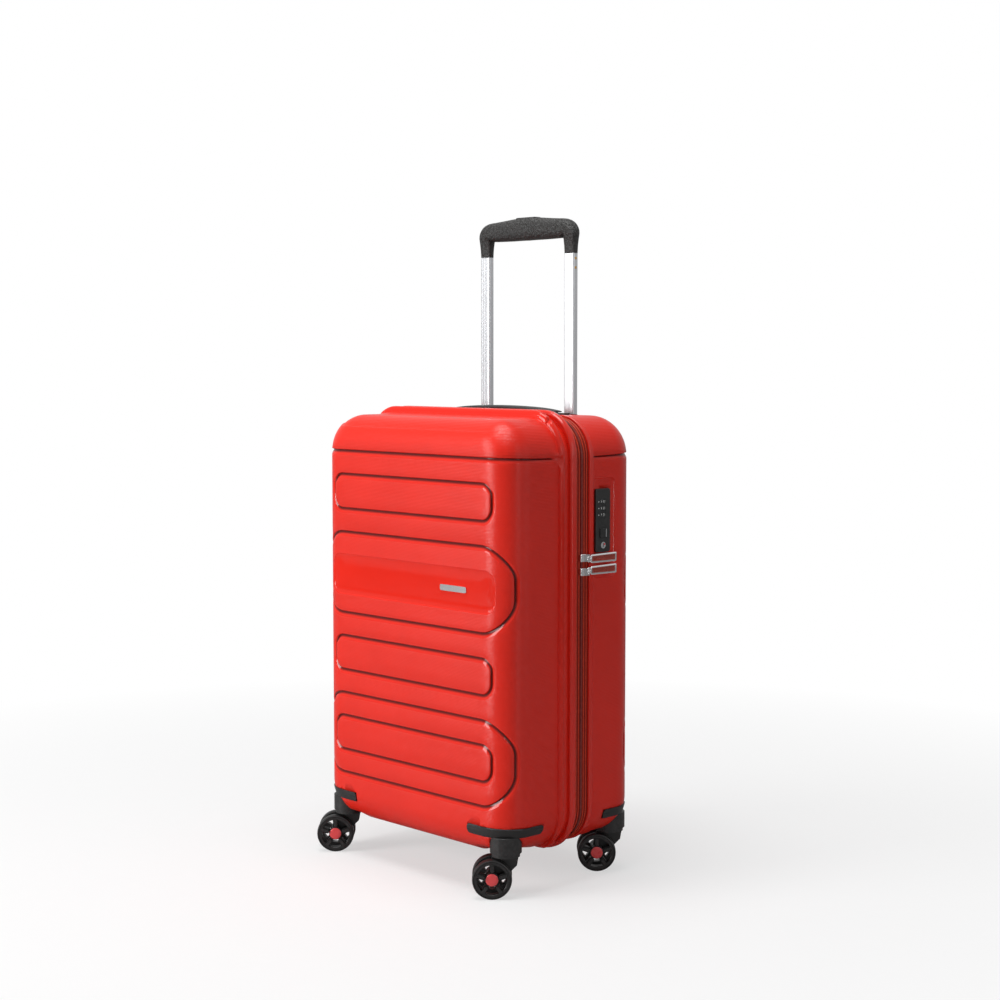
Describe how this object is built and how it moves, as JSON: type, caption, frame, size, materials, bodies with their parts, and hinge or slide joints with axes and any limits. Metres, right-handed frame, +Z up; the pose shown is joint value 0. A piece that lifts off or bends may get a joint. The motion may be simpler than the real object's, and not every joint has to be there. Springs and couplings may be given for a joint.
{
  "type": "hard shell suitcase",
  "caption": "Upright hard shell cabin suitcase with ribbed moulded halves, zip and dial lock, telescopic handle, carry handle and swivelling twin-wheel casters.",
  "frame": {"origin": "on the floor, under the middle of the whole object's box", "axes": "+Z up, -Y the front face, +Y the back with the trolley handle, +X the side with the zip lock"},
  "size_m": [0.3506, 0.2307, 0.7781],
  "materials": {
    "black_plastic": "fine-grained black moulded plastic",
    "cap_red": "hub cap",
    "coil_red": "nylon zip coil",
    "dial_black": null,
    "grip_black": "soft-touch grip with a pebble texture",
    "lining_grey": "thin woven polyester lining",
    "lock_black": "satin black lock case",
    "shell_red": "satin moulded plastic, fine horizontal texture, glossy grooves and rims",
    "steel": "plain steel",
    "tape_red": "woven zip tape",
    "tube_aluminium": "drawn tube, bright anodised, long grain",
    "zinc_chrome": "bright plated zinc casting"
  },
  "bodies": {
    "rear_case": {"rear_shell": "shell_red", "rear_rim_welt": "shell_red", "zip_tape_rear": "tape_red", "zip_coil": "coil_red", "hinge_strip": "lining_grey", "lock_housing": "lock_black", "lock_dial_shaft": "steel", "carry_handle_plates": "black_plastic", "trolley_outer_tube_left": "tube_aluminium", "trolley_outer_tube_right": "tube_aluminium", "trolley_cup": "black_plastic", "trolley_foot_bracket": "black_plastic", "rear_lining": "lining_grey", "rear_left_caster_housing": "black_plastic", "rear_right_caster_housing": "black_plastic"},
    "front_case": {"front_shell": "shell_red", "front_rim_welt": "shell_red", "zip_tape_front": "tape_red", "front_lining": "lining_grey", "badge": "zinc_chrome", "front_left_caster_housing": "black_plastic", "front_right_caster_housing": "black_plastic"},
    "zip_slider_upper": {"zip_slider_upper": "zinc_chrome"},
    "zip_slider_lower": {"zip_slider_lower": "zinc_chrome"},
    "zip_pull_upper": {"zip_pull_upper": "zinc_chrome"},
    "zip_pull_lower": {"zip_pull_lower": "zinc_chrome"},
    "lock_dial_1": {"lock_dial_1": "dial_black"},
    "lock_dial_2": {"lock_dial_2": "dial_black"},
    "lock_dial_3": {"lock_dial_3": "dial_black"},
    "lock_release_button": {"lock_release_button": "lock_black"},
    "lock_key_cylinder": {"lock_key_cylinder": "zinc_chrome"},
    "carry_handle": {"carry_handle": "black_plastic"},
    "trolley": {"trolley_inner_tube_left": "tube_aluminium", "trolley_inner_tube_right": "tube_aluminium", "trolley_grip": "grip_black", "trolley_button_spring": "steel"},
    "trolley_button": {"trolley_button": "black_plastic", "trolley_push_rods": "steel", "trolley_catches": "black_plastic"},
    "front_left_caster": {"front_left_caster_fork": "black_plastic", "front_left_caster_axle": "steel", "front_left_caster_caps": "cap_red"},
    "front_left_wheel_1": {"front_left_wheel_1": "black_plastic"},
    "front_left_wheel_2": {"front_left_wheel_2": "black_plastic"},
    "front_right_caster": {"front_right_caster_fork": "black_plastic", "front_right_caster_axle": "steel", "front_right_caster_caps": "cap_red"},
    "front_right_wheel_1": {"front_right_wheel_1": "black_plastic"},
    "front_right_wheel_2": {"front_right_wheel_2": "black_plastic"},
    "rear_left_caster": {"rear_left_caster_fork": "black_plastic", "rear_left_caster_axle": "steel", "rear_left_caster_caps": "cap_red"},
    "rear_left_wheel_1": {"rear_left_wheel_1": "black_plastic"},
    "rear_left_wheel_2": {"rear_left_wheel_2": "black_plastic"},
    "rear_right_caster": {"rear_right_caster_fork": "black_plastic", "rear_right_caster_axle": "steel", "rear_right_caster_caps": "cap_red"},
    "rear_right_wheel_1": {"rear_right_wheel_1": "black_plastic"},
    "rear_right_wheel_2": {"rear_right_wheel_2": "black_plastic"}
  },
  "joints": [
    {"name": "case_opening", "type": "hinge", "parent": "rear_case", "child": "front_case", "pos_m": [-0.16644, 0.01927, 0.29], "axis": [0, 0, -1], "range_deg": [0, 180]},
    {"name": "zip_slider_upper_travel", "type": "slide", "parent": "rear_case", "child": "zip_slider_upper", "axis": [0, 0, 1], "range_m": [0, 0.1]},
    {"name": "zip_slider_lower_travel", "type": "slide", "parent": "rear_case", "child": "zip_slider_lower", "axis": [0, 0, 1], "range_m": [-0.25, 0]},
    {"name": "zip_pull_upper_lift", "type": "hinge", "parent": "zip_slider_upper", "child": "zip_pull_upper", "pos_m": [0.17416, 0.02477, 0.3775], "axis": [0, 0, -1], "range_deg": [0, 110]},
    {"name": "zip_pull_lower_lift", "type": "hinge", "parent": "zip_slider_lower", "child": "zip_pull_lower", "pos_m": [0.17416, 0.02477, 0.3615], "axis": [0, 0, -1], "range_deg": [0, 110]},
    {"name": "lock_dial_1_turn", "type": "hinge", "parent": "rear_case", "child": "lock_dial_1", "pos_m": [0.16636, 0.05202, 0.44], "axis": [0, 0, 1], "continuous": true},
    {"name": "lock_dial_2_turn", "type": "hinge", "parent": "rear_case", "child": "lock_dial_2", "pos_m": [0.16636, 0.05202, 0.4324], "axis": [0, 0, 1], "continuous": true},
    {"name": "lock_dial_3_turn", "type": "hinge", "parent": "rear_case", "child": "lock_dial_3", "pos_m": [0.16636, 0.05202, 0.4248], "axis": [0, 0, 1], "continuous": true},
    {"name": "lock_release_press", "type": "slide", "parent": "rear_case", "child": "lock_release_button", "axis": [-1, 0, 0], "range_m": [0, 0.001], "stiffness_N_per_m": 400},
    {"name": "lock_key_turn", "type": "hinge", "parent": "rear_case", "child": "lock_key_cylinder", "pos_m": [0.16706, 0.05202, 0.39], "axis": [1, 0, 0], "range_deg": [0, 90]},
    {"name": "carry_handle_lift", "type": "slide", "parent": "rear_case", "child": "carry_handle", "axis": [0, 0, 1], "range_m": [0, 0.012]},
    {"name": "trolley_travel", "type": "slide", "parent": "rear_case", "child": "trolley", "axis": [0, 0, 1], "range_m": [-0.232, 0.17]},
    {"name": "trolley_button_press", "type": "slide", "parent": "trolley", "child": "trolley_button", "axis": [0, 0, -1], "range_m": [0, 0.003], "stiffness_N_per_m": 800, "springref_m": -0.003, "deforming": ["trolley_button_spring"]},
    {"name": "front_left_caster_swivel", "type": "hinge", "parent": "front_case", "child": "front_left_caster", "pos_m": [-0.13634, -0.07608, 0.048], "axis": [0, 0, 1], "continuous": true},
    {"name": "front_left_wheel_1_spin", "type": "hinge", "parent": "front_left_caster", "child": "front_left_wheel_1", "pos_m": [-0.14699, -0.08735, 0.0225], "axis": [0.7266, -0.6871, 0], "continuous": true},
    {"name": "front_left_wheel_2_spin", "type": "hinge", "parent": "front_left_caster", "child": "front_left_wheel_2", "pos_m": [-0.14699, -0.08735, 0.0225], "axis": [0.7266, -0.6871, 0], "continuous": true},
    {"name": "front_right_caster_swivel", "type": "hinge", "parent": "front_case", "child": "front_right_caster", "pos_m": [0.14446, -0.07608, 0.048], "axis": [0, 0, 1], "continuous": true},
    {"name": "front_right_wheel_1_spin", "type": "hinge", "parent": "front_right_caster", "child": "front_right_wheel_1", "pos_m": [0.13381, -0.08735, 0.0225], "axis": [0.7266, -0.6871, 0], "continuous": true},
    {"name": "front_right_wheel_2_spin", "type": "hinge", "parent": "front_right_caster", "child": "front_right_wheel_2", "pos_m": [0.13381, -0.08735, 0.0225], "axis": [0.7266, -0.6871, 0], "continuous": true},
    {"name": "rear_left_caster_swivel", "type": "hinge", "parent": "rear_case", "child": "rear_left_caster", "pos_m": [-0.13634, 0.09312, 0.048], "axis": [0, 0, 1], "continuous": true},
    {"name": "rear_left_wheel_1_spin", "type": "hinge", "parent": "rear_left_caster", "child": "rear_left_wheel_1", "pos_m": [-0.14699, 0.08185, 0.0225], "axis": [0.7266, -0.6871, 0], "continuous": true},
    {"name": "rear_left_wheel_2_spin", "type": "hinge", "parent": "rear_left_caster", "child": "rear_left_wheel_2", "pos_m": [-0.14699, 0.08185, 0.0225], "axis": [0.7266, -0.6871, 0], "continuous": true},
    {"name": "rear_right_caster_swivel", "type": "hinge", "parent": "rear_case", "child": "rear_right_caster", "pos_m": [0.14446, 0.09312, 0.048], "axis": [0, 0, 1], "continuous": true},
    {"name": "rear_right_wheel_1_spin", "type": "hinge", "parent": "rear_right_caster", "child": "rear_right_wheel_1", "pos_m": [0.13381, 0.08185, 0.0225], "axis": [0.7266, -0.6871, 0], "continuous": true},
    {"name": "rear_right_wheel_2_spin", "type": "hinge", "parent": "rear_right_caster", "child": "rear_right_wheel_2", "pos_m": [0.13381, 0.08185, 0.0225], "axis": [0.7266, -0.6871, 0], "continuous": true}
  ]
}
